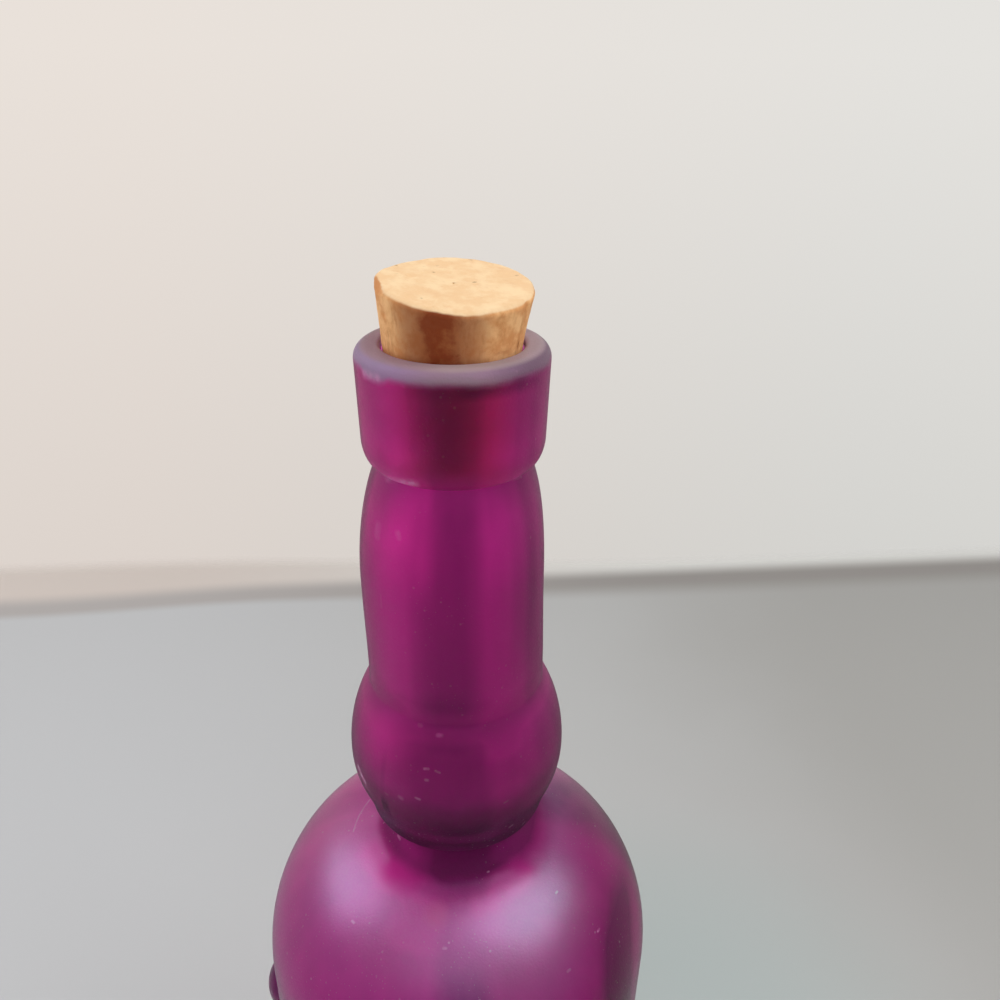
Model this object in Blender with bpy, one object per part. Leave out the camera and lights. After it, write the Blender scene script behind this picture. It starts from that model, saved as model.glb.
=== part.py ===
"""Cork-stoppered decanter: a one-piece moulded satin glass bottle and its tapered cork.

Metres, +Z up. The origin is the middle of the ring that the bottle stands on.
The glass is one turned wall, drawn as a closed section that runs from the middle of the
underside up the outside, over the lip and down the inside, and is spun about Z.
"""
import math

import bmesh
import bpy
from mathutils import Matrix, Vector
from mathutils.geometry import interpolate_bezier

# Cork: a tapered stopper, cut on a slant at the top
CORK_TOP_RADIUS = 0.0123
CORK_FOOT_RADIUS = 0.0092
CORK_LENGTH = 0.0280
CORK_SEAT_DEPTH = 0.0194
CORK_FOOT_CHAMFER = 0.0006
CORK_RIM_WEAR = 0.0005
CORK_SLANT_BACK_DEGREES = 9.0
CORK_SLANT_SIDE_DEGREES = 2.6
CORK_CHIP_DEPTH = 0.0011
CORK_CHIP_LENGTH = 0.0080
CORK_CHIP_TURN_DEGREES = 200.0
CORK_CHIP_LEAN_DEGREES = 24.0

# Mouth, lip and collar
SEAT_GAP = 0.0003
MOUTH_ROUND = 0.0010
LIP_WALL = 0.0043
LIP_ROUND = 0.0023
COLLAR_HEIGHT = 0.0155
COLLAR_DRAFT = 0.0004
COLLAR_FOOT_HEIGHT = 0.0047
GROOVE_DEPTH = 0.0024

# Neck
NECK_RADIUS = 0.0166
NECK_WALL = 0.0040
NECK_SWELL_HEIGHT = 0.0225
NECK_STEM_HEIGHT = 0.0228
NECK_FOOT_FLARE = 0.0003
NECK_FOOT_FILLET = 0.0014

# Knop, the ball below the neck
KNOP_SWELL = 0.0044
KNOP_WALL = 0.0040
KNOP_TOP_HEIGHT = 0.0155
KNOP_FOOT_HEIGHT = 0.0180
KNOP_BASE_SWELL = 0.0046
KNOP_BASE_HEIGHT = 0.0046
KNOP_BASE_ROUND = 0.0017
KNOP_BASE_TAPER_DEGREES = 13.0

# Waist, between the knop and the shoulder
WAIST_BORE_RADIUS = 0.0085
WAIST_WALL = 0.0046
WAIST_FILLET = 0.0052

# Shoulder and body
SHOULDER_HEIGHT = 0.0304
BODY_RADIUS = 0.0415
BODY_DRAFT = 0.0020
BODY_HEIGHT = 0.2040
BODY_WALL = 0.0030

# Foot
HEEL_ROUND = 0.0080
INNER_HEEL_ROUND = 0.0055
RING_WIDTH = 0.0040
PUSH_UP_HEIGHT = 0.0050
FLOOR_THICKNESS = 0.0050

# Boss, a round swelling pressed into the side of the body
BOSS_RADIUS = 0.0062
BOSS_HEIGHT = 0.1928
BOSS_STAND_OUT = 0.0034
BOSS_SINK = 0.0014
BOSS_TURN_DEGREES = 185.0

# Facets
SIDES = 48
BOSS_SIDES = 24
SHARP_EDGE_DEGREES = 35.0
MERGE_DISTANCE = 0.000001

# Shares that shape the free curves
FILLET_HANDLE_SHARE = 0.55
BORE_HANDLE_SHARE = 0.45
KNOP_HANDLE_SHARE = 0.45


def levels():
    """Heights above the table of the places where the section changes, bottom to top."""
    z = {"heel": HEEL_ROUND}
    z["body_top"] = z["heel"] + BODY_HEIGHT
    z["shoulder_top"] = z["body_top"] + SHOULDER_HEIGHT
    z["waist"] = z["shoulder_top"] + WAIST_FILLET
    z["knop"] = z["waist"] + KNOP_FOOT_HEIGHT
    z["neck_foot"] = z["knop"] + KNOP_TOP_HEIGHT
    z["neck"] = z["neck_foot"] + NECK_STEM_HEIGHT
    z["groove"] = z["neck"] + NECK_SWELL_HEIGHT
    z["collar_foot"] = z["groove"] + COLLAR_FOOT_HEIGHT
    z["lip"] = z["collar_foot"] + COLLAR_HEIGHT
    z["cork_foot"] = z["lip"] - CORK_SEAT_DEPTH
    z["cork_top"] = z["cork_foot"] + CORK_LENGTH
    return z


def cork_radius(height):
    """Radius of the tapered cork at a height above the table."""
    share = (height - levels()["cork_foot"]) / CORK_LENGTH
    return CORK_FOOT_RADIUS + (CORK_TOP_RADIUS - CORK_FOOT_RADIUS) * share


def bore_radius(height):
    """Radius of the tapered seat that the cork goes into."""
    return cork_radius(height) + SEAT_GAP


def radii():
    """Outer radii of the glass at the same places."""
    z = levels()
    r = {"body": BODY_RADIUS, "heel": BODY_RADIUS - BODY_DRAFT}
    r["ring"] = r["heel"] - HEEL_ROUND
    r["waist"] = WAIST_BORE_RADIUS + WAIST_WALL
    r["knop_base"] = r["waist"] + KNOP_BASE_SWELL
    r["neck"] = NECK_RADIUS
    r["neck_root"] = r["neck"] + NECK_FOOT_FLARE
    r["knop"] = r["neck"] + KNOP_SWELL
    r["lip"] = bore_radius(z["lip"]) + LIP_WALL
    r["collar"] = r["lip"] - COLLAR_DRAFT
    r["groove"] = r["collar"] - GROOVE_DEPTH
    return r


def arc(centre, semi_axes, start_degrees, end_degrees, steps):
    """Points of an elliptical arc in the (radius, height) plane, both ends included."""
    points = []
    for step in range(steps + 1):
        angle = math.radians(start_degrees + (end_degrees - start_degrees) * step / steps)
        points.append((centre[0] + semi_axes[0] * math.cos(angle),
                       centre[1] + semi_axes[1] * math.sin(angle)))
    return points


def ball(radius, end_radius, end_height, steps):
    """Arc of an ellipse about the axis, from its widest place to end_radius, end_height away."""
    end_angle = math.degrees(math.acos(end_radius / radius))
    semi_height = end_height / math.sin(math.radians(end_angle))
    return arc((0, 0), (radius, semi_height), 0, end_angle, steps)


def raised(points, height):
    """The same points, moved up by a height."""
    return [(r, z + height) for r, z in points]


def bend(start, start_handle, end_handle, end, steps):
    """Points of one Bezier curve in the (radius, height) plane, both ends included."""
    corners = [Vector((r, 0, z)) for r, z in (start, start_handle, end_handle, end)]
    return [(p.x, p.z) for p in interpolate_bezier(*corners, steps + 1)]


def upright_bend(start, end, steps):
    """An S-shaped curve that leaves its start and meets its end upright."""
    reach = (end[1] - start[1]) * BORE_HANDLE_SHARE
    return bend(start, (start[0], start[1] + reach), (end[0], end[1] - reach), end, steps)


def fillet(near, end, towards_end, upright, steps):
    """Fillet from the last of two section points to an upright wall at end."""
    before, start = near
    run = Vector((start[0] - before[0], start[1] - before[1])).normalized()
    reach = FILLET_HANDLE_SHARE * towards_end
    handle = (start[0] + run.x * reach, start[1] + run.y * reach)
    return bend(start, handle, (end[0], end[1] - upright * reach), end, steps)


def underside():
    """Middle of the push-up to the outer edge of the resting ring."""
    r = radii()
    inner_ring = r["ring"] - RING_WIDTH
    push_up = arc((0, 0), (inner_ring, PUSH_UP_HEIGHT), 90, 0, 5)
    heel = arc((r["ring"], HEEL_ROUND), (HEEL_ROUND, HEEL_ROUND), -90, 0, 5)
    return push_up + heel


def shoulder():
    """Top of the straight wall to the waist: a dome, with a fillet into the waist."""
    r, z = radii(), levels()
    width = r["body"] - r["waist"]
    trim = math.degrees(math.acos(WAIST_FILLET / width))
    dome = arc((r["waist"], z["body_top"]), (width, SHOULDER_HEIGHT), 0, trim, 9)
    return dome + fillet(dome[-2:], (r["waist"], z["waist"]), WAIST_FILLET, 1, 4)[1:]


def knop():
    """Waist to the neck: round under-edge, tapering side, ball top, fillet into the neck."""
    r, z = radii(), levels()
    taper = math.radians(KNOP_BASE_TAPER_DEGREES)
    base = (r["knop_base"], z["waist"] + KNOP_BASE_HEIGHT)
    reach = (z["knop"] - base[1]) * KNOP_HANDLE_SHARE
    side = bend((r["knop"], z["knop"]), (r["knop"], z["knop"] - reach),
                (base[0] + reach * math.tan(taper), base[1] + reach), base, 6)
    centre = (base[0] - KNOP_BASE_ROUND * math.cos(taper),
              base[1] + KNOP_BASE_ROUND * math.sin(taper))
    edge = arc(centre, (KNOP_BASE_ROUND, KNOP_BASE_ROUND), -KNOP_BASE_TAPER_DEGREES, -75, 3)
    under = fillet(edge[-2:], (r["waist"], z["waist"]), edge[-1][1] - z["waist"], -1, 4)
    upper = raised(ball(r["knop"], r["neck_root"], KNOP_TOP_HEIGHT, 6), z["knop"])
    foot = fillet(upper[-2:], (r["neck"], z["neck_foot"] + NECK_FOOT_FILLET),
                  NECK_FOOT_FILLET, 1, 3)
    return under[::-1] + edge[-2:0:-1] + side[::-1] + upper[1:] + foot[1:]


def neck():
    """Straight stem's top to the bottom of the groove, swelling gently on the way."""
    r, z = radii(), levels()
    reach = NECK_SWELL_HEIGHT * FILLET_HANDLE_SHARE
    return bend((r["neck"], z["neck"]), (r["neck"], z["neck"] + reach),
                (r["groove"] + GROOVE_DEPTH * FILLET_HANDLE_SHARE, z["groove"] - GROOVE_DEPTH),
                (r["groove"], z["groove"]), 7)


def collar_and_lip():
    """Groove to the mouth: rounded collar foot, drafted wall and rounded crown."""
    r, z = radii(), levels()
    foot = arc((r["groove"], z["collar_foot"]), (GROOVE_DEPTH, COLLAR_FOOT_HEIGHT), -75, 0, 4)
    crown = arc((r["lip"] - LIP_ROUND, z["lip"] - LIP_ROUND), (LIP_ROUND, LIP_ROUND), 0, 90, 5)
    bore = bore_radius(z["lip"] - MOUTH_ROUND)
    mouth = arc((bore + MOUTH_ROUND, z["lip"] - MOUTH_ROUND), (MOUTH_ROUND, MOUTH_ROUND), 90, 180, 3)
    return foot + crown + mouth


def inside():
    """Mouth to the middle of the floor: cork seat, neck, knop, waist, shoulder, body, floor."""
    r, z = radii(), levels()
    neck_bore = r["neck"] - NECK_WALL
    knop_bore = r["knop"] - KNOP_WALL
    body_bore = r["body"] - BODY_WALL
    heel_bore = r["heel"] - BODY_WALL
    dome_top = z["shoulder_top"] - BODY_WALL
    seat_foot = (bore_radius(z["groove"]), z["groove"])
    section = upright_bend(seat_foot, (neck_bore, z["neck"]), 4)
    section += upright_bend((neck_bore, z["neck_foot"]), (knop_bore, z["knop"]), 5)
    section += upright_bend((knop_bore, z["knop"]), (WAIST_BORE_RADIUS, z["waist"]), 5)[1:]
    width = body_bore - WAIST_BORE_RADIUS
    trim = math.degrees(math.acos(WAIST_FILLET / width))
    dome = arc((WAIST_BORE_RADIUS, z["body_top"]), (width, dome_top - z["body_top"]), 0, trim, 7)
    root = fillet(dome[-2:], (WAIST_BORE_RADIUS, dome_top + WAIST_FILLET), WAIST_FILLET, 1, 3)
    section += root[::-1] + dome[-2::-1]
    section += arc((heel_bore - INNER_HEEL_ROUND, FLOOR_THICKNESS + INNER_HEEL_ROUND),
                   (INNER_HEEL_ROUND, INNER_HEEL_ROUND), 0, -90, 3)
    section += arc((0, FLOOR_THICKNESS), (r["ring"] - RING_WIDTH, PUSH_UP_HEIGHT), 0, 90, 4)
    return section


def turned_mesh(name, section):
    """Closed solid made by spinning a (radius, height) section about Z."""
    shape = bmesh.new()
    corners = [shape.verts.new((r, 0, z)) for r, z in section]
    edges = [shape.edges.new(pair) for pair in zip(corners, corners[1:])]
    bmesh.ops.spin(shape, geom=corners + edges, cent=(0, 0, 0), axis=(0, 0, 1),
                   angle=math.tau, steps=SIDES, use_merge=True)
    bmesh.ops.remove_doubles(shape, verts=shape.verts, dist=MERGE_DISTANCE)
    bmesh.ops.recalc_face_normals(shape, faces=shape.faces)
    return finished_mesh(name, shape)


def finished_mesh(name, shape):
    """Mesh data from a bmesh, shaded smooth but for its real corners."""
    mesh = bpy.data.meshes.new(name)
    shape.to_mesh(mesh)
    shape.free()
    mesh.shade_smooth()
    mesh.set_sharp_from_angle(angle=math.radians(SHARP_EDGE_DEGREES))
    return mesh


def add_object(name, mesh, material=None):
    """New object in the scene that holds a mesh."""
    piece = bpy.data.objects.new(name, mesh)
    bpy.context.scene.collection.objects.link(piece)
    if material:
        mesh.materials.append(material)
    return piece


def add_cutter(name, mesh):
    """Helper object, drawn as wire and left out of the part."""
    cutter = add_object(name, mesh)
    cutter.hide_render = True
    cutter.display_type = "WIRE"
    return cutter


def add_boolean(piece, helper, operation):
    """Boolean modifier between a piece and its helper."""
    boolean = piece.modifiers.new(helper.name, "BOOLEAN")
    boolean.operation = operation
    boolean.solver = "EXACT"
    boolean.object = helper


def plain_material(name, color, roughness, transmission=0.0):
    """Principled material with the piece's own colour and finish."""
    material = bpy.data.materials.new(name)
    material.use_nodes = True
    shader = material.node_tree.nodes["Principled BSDF"]
    shader.inputs["Base Color"].default_value = (*color, 1.0)
    shader.inputs["Roughness"].default_value = roughness
    shader.inputs["Metallic"].default_value = 0.0
    shader.inputs["Transmission Weight"].default_value = transmission
    return material


def boss_mesh():
    """Low round swelling, set on the side of the body and sunk into its wall."""
    r, z = radii(), levels()
    share = (BOSS_HEIGHT - z["heel"]) / BODY_HEIGHT
    wall_radius = r["heel"] + (r["body"] - r["heel"]) * share
    shape = bmesh.new()
    bmesh.ops.create_uvsphere(shape, u_segments=BOSS_SIDES, v_segments=BOSS_SIDES // 2, radius=1)
    depth = BOSS_STAND_OUT + BOSS_SINK
    bmesh.ops.scale(shape, verts=shape.verts, vec=(BOSS_RADIUS, BOSS_RADIUS, depth))
    facing = Matrix.Rotation(math.radians(BOSS_TURN_DEGREES), 4, "Z")
    lying = Matrix.Rotation(math.pi / 2, 4, "Y")
    place = facing @ Matrix.Translation((wall_radius - BOSS_SINK, 0, BOSS_HEIGHT)) @ lying
    bmesh.ops.transform(shape, matrix=place, verts=shape.verts)
    return finished_mesh("boss", shape)


def make_bottle():
    """One-piece glass: the turned wall with the boss fused to its side."""
    section = underside() + shoulder() + knop()[1:] + neck() + collar_and_lip() + inside()
    color = (0.45, 0.02, 0.30)
    material = plain_material("satin_magenta_glass", color, roughness=0.42, transmission=0.55)
    bottle = add_object("glass_bottle", turned_mesh("glass_bottle", section), material)
    boss = add_cutter("boss_shape", boss_mesh())
    add_boolean(bottle, boss, "UNION")
    return bottle


def cork_mesh():
    """Tapered plug about its own axis, foot at zero height, its top cut on a slant."""
    base = levels()["cork_foot"]
    spare = CORK_TOP_RADIUS
    full = CORK_LENGTH + spare
    foot = cork_radius(base + CORK_FOOT_CHAMFER)
    section = [(0, 0), (foot - CORK_FOOT_CHAMFER, 0), (foot, CORK_FOOT_CHAMFER),
               (cork_radius(base + full), full), (0, full)]
    shape = bmesh.new()
    shape.from_mesh(turned_mesh("cork_blank", section))
    back = math.tan(math.radians(CORK_SLANT_BACK_DEGREES))
    side = math.tan(math.radians(CORK_SLANT_SIDE_DEGREES))
    geometry = shape.verts[:] + shape.edges[:] + shape.faces[:]
    cut = bmesh.ops.bisect_plane(shape, geom=geometry, plane_co=(0, 0, CORK_LENGTH),
                                 plane_no=(side, -back, 1), clear_outer=True)
    rim = [item for item in cut["geom_cut"] if isinstance(item, bmesh.types.BMEdge)]
    bmesh.ops.contextual_create(shape, geom=rim)
    bmesh.ops.recalc_face_normals(shape, faces=shape.faces)
    return finished_mesh("cork_stopper", shape)


def chip_mesh():
    """Block whose one face slices the worn corner off the cork's upper rim."""
    shape = bmesh.new()
    bmesh.ops.create_cube(shape, size=CORK_CHIP_LENGTH * 2)
    turn = Matrix.Rotation(math.radians(CORK_CHIP_TURN_DEGREES), 4, "Z")
    lean = Matrix.Rotation(math.radians(-CORK_CHIP_LEAN_DEGREES), 4, "Y")
    reach = CORK_TOP_RADIUS - CORK_CHIP_DEPTH
    place = turn @ Matrix.Translation((reach, 0, CORK_LENGTH)) @ lean
    outward = Matrix.Translation((CORK_CHIP_LENGTH, 0, 0))
    bmesh.ops.transform(shape, matrix=place @ outward, verts=shape.verts)
    return finished_mesh("chip", shape)


def make_cork():
    """Cork stopper, wedged in the mouth, with its origin on the axis that it slides along."""
    material = plain_material("natural_cork", (0.66, 0.42, 0.22), roughness=0.85)
    cork = add_object("cork_stopper", cork_mesh(), material)
    cork.location = (0, 0, levels()["cork_foot"])
    chip = add_cutter("cork_chip", chip_mesh())
    chip.parent = cork
    add_boolean(cork, chip, "DIFFERENCE")
    wear = cork.modifiers.new("rim_wear", "BEVEL")
    wear.width = CORK_RIM_WEAR
    wear.segments = 2
    wear.limit_method = "ANGLE"
    wear.angle_limit = math.radians(SHARP_EDGE_DEGREES)
    return cork


def clear_scene():
    """Remove every object that the opened file holds."""
    for old in list(bpy.data.objects):
        bpy.data.objects.remove(old, do_unlink=True)


clear_scene()
make_bottle()
make_cork()
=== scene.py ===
"""Looks of the satin glass decanter and its cork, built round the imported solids.

Metres, +Z up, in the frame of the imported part: the origin is the middle of the ring that the
bottle stands on. The glass is turned again here with more points, from the same sizes.
"""
import math

import bpy
from mathutils import Matrix, Vector, noise
from mathutils.geometry import interpolate_bezier


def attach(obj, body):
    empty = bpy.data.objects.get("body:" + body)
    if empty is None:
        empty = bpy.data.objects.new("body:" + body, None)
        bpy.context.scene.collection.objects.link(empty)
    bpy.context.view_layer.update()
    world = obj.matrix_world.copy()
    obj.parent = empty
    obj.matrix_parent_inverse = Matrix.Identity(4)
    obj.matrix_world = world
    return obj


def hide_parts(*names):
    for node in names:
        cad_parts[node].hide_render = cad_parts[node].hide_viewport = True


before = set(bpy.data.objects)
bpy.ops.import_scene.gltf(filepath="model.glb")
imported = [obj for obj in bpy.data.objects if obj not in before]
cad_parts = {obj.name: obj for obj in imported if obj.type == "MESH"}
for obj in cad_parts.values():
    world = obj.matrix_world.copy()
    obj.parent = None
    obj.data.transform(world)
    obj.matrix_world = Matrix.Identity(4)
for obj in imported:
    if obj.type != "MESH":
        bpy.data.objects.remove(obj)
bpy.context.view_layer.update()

# Cork
CORK_TOP_RADIUS = 0.0123
CORK_FOOT_RADIUS = 0.0092
CORK_LENGTH = 0.0280
CORK_SEAT_DEPTH = 0.0194
CORK_FOOT_CHAMFER = 0.0006
CORK_RIM_ROUND = 0.0009
CORK_HEAD_SPREAD = 0.0003
CORK_HEAD_LEAN = 0.0006

# Slanted top of the cork: it falls to the front and the right, and its left part stands up
CORK_SLANT_BACK_DEGREES = 6.4
CORK_SLANT_SIDE_DEGREES = 2.6
CORK_CENTRE_RISE = 0.00058
CORK_LEFT_RISE = 0.00085
CORK_LEFT_REACH_SHARE = 0.6
CORK_FOLD_SHARE = 0.2

# Chip off the rim of the cork
CORK_CHIP_DEPTH = 0.0011
CORK_CHIP_RISE = 0.0015
CORK_CHIP_TURN_DEGREES = 200.0
CORK_CHIP_LEAN_DEGREES = 24.0
CORK_CHIP_GRAIN_SIZE = 0.0016
CORK_CHIP_GRAIN_DEPTH = 0.000132
CORK_CHIP_NEAR = 0.0004
CORK_CHIP_FRESH_DEPTH = 0.0003

# Waves, grain and pits of the cork's surface
CORK_WAVE_SIZE = 0.0060
CORK_WAVE_HEIGHT = 0.00016
CORK_GRAIN_SIZE = 0.0022
CORK_GRAIN_DEPTH = 0.00007
CORK_PIT_SPACING = 0.0034
CORK_PIT_SIZE_SHARE = 0.24
CORK_PIT_PATCH_SIZE = 0.0050
CORK_PIT_DEPTH = 0.00034

# Glass, mouth to foot
SEAT_GAP = 0.0003
MOUTH_ROUND = 0.0010
LIP_WALL = 0.0043
LIP_ROUND = 0.0023
COLLAR_HEIGHT = 0.0155
COLLAR_DRAFT = 0.0004
COLLAR_FOOT_HEIGHT = 0.0047
GROOVE_DEPTH = 0.0024
NECK_RADIUS = 0.0166
NECK_WALL = 0.0040
NECK_SWELL_HEIGHT = 0.0225
NECK_STEM_HEIGHT = 0.0228
NECK_FOOT_FLARE = 0.0003
NECK_FOOT_FILLET = 0.0014
NECK_BOW = 0.0005
KNOP_SWELL = 0.0044
KNOP_WALL = 0.0040
KNOP_TOP_HEIGHT = 0.0155
KNOP_FOOT_HEIGHT = 0.0180
KNOP_BASE_SWELL = 0.0046
KNOP_BASE_HEIGHT = 0.0046
KNOP_BASE_ROUND = 0.0017
KNOP_BASE_TAPER_DEGREES = 13.0
WAIST_BORE_RADIUS = 0.0085
WAIST_WALL = 0.0046
WAIST_FILLET = 0.0052
SHOULDER_HEIGHT = 0.0304
BODY_RADIUS = 0.0415
BODY_DRAFT = 0.0020
BODY_HEIGHT = 0.2040
BODY_WALL = 0.0030
HEEL_ROUND = 0.0080
INNER_HEEL_ROUND = 0.0055
RING_WIDTH = 0.0040
PUSH_UP_HEIGHT = 0.0050
FLOOR_THICKNESS = 0.0050

# Boss on the side of the body
BOSS_RADIUS = 0.0062
BOSS_HEIGHT = 0.1928
BOSS_STAND_OUT = 0.0034
BOSS_SINK = 0.0014
BOSS_TURN_DEGREES = 185.0
BOSS_FILLET = 0.0007

# Shares that shape the free curves
FILLET_HANDLE_SHARE = 0.55
BORE_HANDLE_SHARE = 0.45
KNOP_HANDLE_SHARE = 0.45

# How fine the meshes are
SECTOR_DEGREES = 2.25
BOSS_SECTOR_DEGREES = 0.75
BOSS_REACH = 0.0096
MARK_PIECE_DEGREES = 6.0
BOSS_ROW = 0.0006
WALL_ROW = 0.0110
NECK_ROW = 0.0060
CORK_SECTORS = 240
CORK_SIDE_ROWS = 90
CORK_TOP_ROWS = 34
CORK_FOOT_ROWS = 10
CORK_RIM_ROWS = 5
BORE_WALL_ROWS = 8

# Stain, wear and painted light and shade. Bearings are in degrees from the right, and negative ones are
# on the front
STREAKS_END = 0.095
STREAKS_FADE = 0.190
NECK_FOOT_PAINTED_LIGHT = 0.34
RAGGED_EDGE = 0.0011
LIP_LEFT_BEARING = -150.0
LIP_RIGHT_BEARING = -10.0
WARM_SPOT = (-98, 0.2405)
MARK_FADES_OUT = 1.7
MARK_FULL = 0.1
CORK_SMEAR_BEARING = -97.0

# Where the ring round the dome's top is shifted: bearing, reach, full angle and amount
DOME_RING_SHIFTS = ((-168.0, 38.0, 12.0, 0.0006), (-80.0, 42.0, 14.0, 0.0004),
                    (-124.0, 17.0, 0.0, -0.0002))

# Colours of the glass. Those of the lip are at its front, its left and its right
GLASS_IOR = 1.75
THIN_STAIN = (0.86, 0.030, 0.430)
DEEP_STAIN = (0.17, 0.002, 0.095)
# Near-black of the painted shade under the knop, with some pooled stain
PAINTED_SHADE_AND_POOLED_STAIN = (0.050, 0.0008, 0.028)
WARM_STAIN = (0.95, 0.10, 0.30)
# Pale colour of worn places, also used for painted highlights
WORN_GLASS_AND_HIGHLIGHT = (0.80, 0.48, 0.72)
# The lip's colours paint a bluish highlight at its left, and on its top a warm reflection of the cork
LIP_SIDE_COLOURS = ((0.395, 0.310, 0.365), (0.36, 0.31, 0.45), (0.20, 0.155, 0.19))
LIP_TOP_COLOURS = ((0.55, 0.475, 0.44), (0.41, 0.325, 0.34), (0.50, 0.45, 0.43))
BODY_GLOSS = (0.38, 0.07, 0.60)
DOME_LEFT_GLOSS = (0.10, 0.46, 0.96)
DOME_RIGHT_GLOSS = (0.08, 0.72, 1.0)
RIGHT_GLOSS = (0.05, 0.01, 0.08)
UPPER_GLOSS = (0.31, 0.14, 0.35)
INNER_PALE = (0.93, 0.84, 0.90)
INNER_DARK = (0.88, 0.78, 0.86)

# Colours of the cork
CORK_SIDE_BROWN = (0.70, 0.315, 0.118)
CORK_SIDE_PALE = (0.92, 0.53, 0.245)
CORK_SIDE_GRAIN = (0.46, 0.180, 0.052)
CORK_SMEAR = (0.215, 0.026, 0.003)
CORK_TOP_BROWN = (0.84, 0.56, 0.315)
CORK_TOP_PALE = (0.90, 0.66, 0.400)
CORK_TOP_GRAIN = (0.74, 0.42, 0.22)
CORK_FRESH = (0.66, 0.27, 0.10)
CORK_PORE = (0.20, 0.07, 0.02)

# Table, its far edge where the photograph has it
TABLE_EDGE = 0.472
TABLE_EDGE_ROUND = 0.003
TABLE_TURN_DEGREES = 5.6
# The table's colours paint shade, darker from left to right and greenish beside the bottle
TABLE_LEFT = (0.590, 0.597, 0.612)
TABLE_MIDDLE = (0.538, 0.540, 0.536)
TABLE_RIGHT = (0.435, 0.430, 0.415)
GREENISH_SHADE = (0.440, 0.505, 0.495)
GREENISH_SHADE_PLACE = (0.095, 0.095, 0.0)
SHADOW_LEFT = (0.475, 0.445, 0.435)
SHADOW_RIGHT = (0.325, 0.305, 0.29)
BEYOND_LEFT = (0.720, 0.638, 0.588)
BEYOND_RIGHT = (0.820, 0.815, 0.785)

# Backdrop low down and from the horizon up, each at the left and at the right
BACKDROP_LOW = ((0.712, 0.645, 0.598), (0.645, 0.640, 0.615))
BACKDROP_HIGH = ((0.815, 0.752, 0.700), (0.776, 0.760, 0.730))

# Fill light: its colour, and its strength at the horizon and overhead
FILL_COLOUR = (1.0, 0.985, 0.96)
FILL_LOW = 0.70
FILL_HIGH = 0.0

# Lamps: name, direction from the neck, size and power
LAMP_AIM_HEIGHT = 0.26
LAMP_DISTANCE = 1.2
LAMPS = (("left_lamp", (-0.75, 0.17, 0.63), 0.80, 6.4),
         ("right_lamp", (0.50, -0.10, 0.86), 0.94, 9.6),
         ("front_lamp", (-0.05, -0.60, 0.80), 1.00, 2.0))

# Camera, placed so that the bottle stands in the frame as it does in the photograph
CAMERA_PLACE = (0.00795, -0.1379, 0.3879)
CAMERA_PITCH_DEGREES = 26.85
CAMERA_ROLL_DEGREES = 0.819
CAMERA_LENS = 31.86
CAMERA_SENSOR = 36.0


def levels():
    """Heights of the places where the glass section changes, bottom to top."""
    z = {"heel": HEEL_ROUND}
    z["body_top"] = z["heel"] + BODY_HEIGHT
    z["shoulder_top"] = z["body_top"] + SHOULDER_HEIGHT
    z["waist"] = z["shoulder_top"] + WAIST_FILLET
    z["knop"] = z["waist"] + KNOP_FOOT_HEIGHT
    z["neck_foot"] = z["knop"] + KNOP_TOP_HEIGHT
    z["neck"] = z["neck_foot"] + NECK_STEM_HEIGHT
    z["groove"] = z["neck"] + NECK_SWELL_HEIGHT
    z["collar_foot"] = z["groove"] + COLLAR_FOOT_HEIGHT
    z["lip"] = z["collar_foot"] + COLLAR_HEIGHT
    z["cork_foot"] = z["lip"] - CORK_SEAT_DEPTH
    return z


def cork_radius(height):
    """Radius of the tapered cork at a height above the table."""
    share = (height - levels()["cork_foot"]) / CORK_LENGTH
    return CORK_FOOT_RADIUS + (CORK_TOP_RADIUS - CORK_FOOT_RADIUS) * share


def bore_radius(height):
    """Radius of the tapered seat that the cork goes into."""
    return cork_radius(height) + SEAT_GAP


def radii():
    """Outer radii of the glass at the same places."""
    z = levels()
    r = {"body": BODY_RADIUS, "heel": BODY_RADIUS - BODY_DRAFT}
    r["ring"] = r["heel"] - HEEL_ROUND
    r["waist"] = WAIST_BORE_RADIUS + WAIST_WALL
    r["knop_base"] = r["waist"] + KNOP_BASE_SWELL
    r["neck"] = NECK_RADIUS
    r["neck_root"] = r["neck"] + NECK_FOOT_FLARE
    r["knop"] = r["neck"] + KNOP_SWELL
    r["lip"] = bore_radius(z["lip"]) + LIP_WALL
    r["collar"] = r["lip"] - COLLAR_DRAFT
    r["groove"] = r["collar"] - GROOVE_DEPTH
    return r


def arc(centre, semi_axes, start_degrees, end_degrees, steps):
    """Points of an elliptical arc in the (radius, height) plane, both ends included."""
    points = []
    for step in range(steps + 1):
        angle = math.radians(start_degrees + (end_degrees - start_degrees) * step / steps)
        points.append((centre[0] + semi_axes[0] * math.cos(angle),
                       centre[1] + semi_axes[1] * math.sin(angle)))
    return points


def ball(radius, end_radius, end_height, steps):
    """Arc of an ellipse about the axis, from its widest place to end_radius."""
    end_angle = math.degrees(math.acos(end_radius / radius))
    semi_height = end_height / math.sin(math.radians(end_angle))
    return arc((0, 0), (radius, semi_height), 0, end_angle, steps)


def bend(start, start_handle, end_handle, end, steps):
    """Points of one Bezier curve in the (radius, height) plane, both ends included."""
    corners = [Vector((r, 0, z)) for r, z in (start, start_handle, end_handle, end)]
    return [(p.x, p.z) for p in interpolate_bezier(*corners, steps + 1)]


def upright_bend(start, end, steps):
    """An S-shaped curve that leaves its start and meets its end upright."""
    reach = (end[1] - start[1]) * BORE_HANDLE_SHARE
    return bend(start, (start[0], start[1] + reach), (end[0], end[1] - reach), end, steps)


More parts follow.
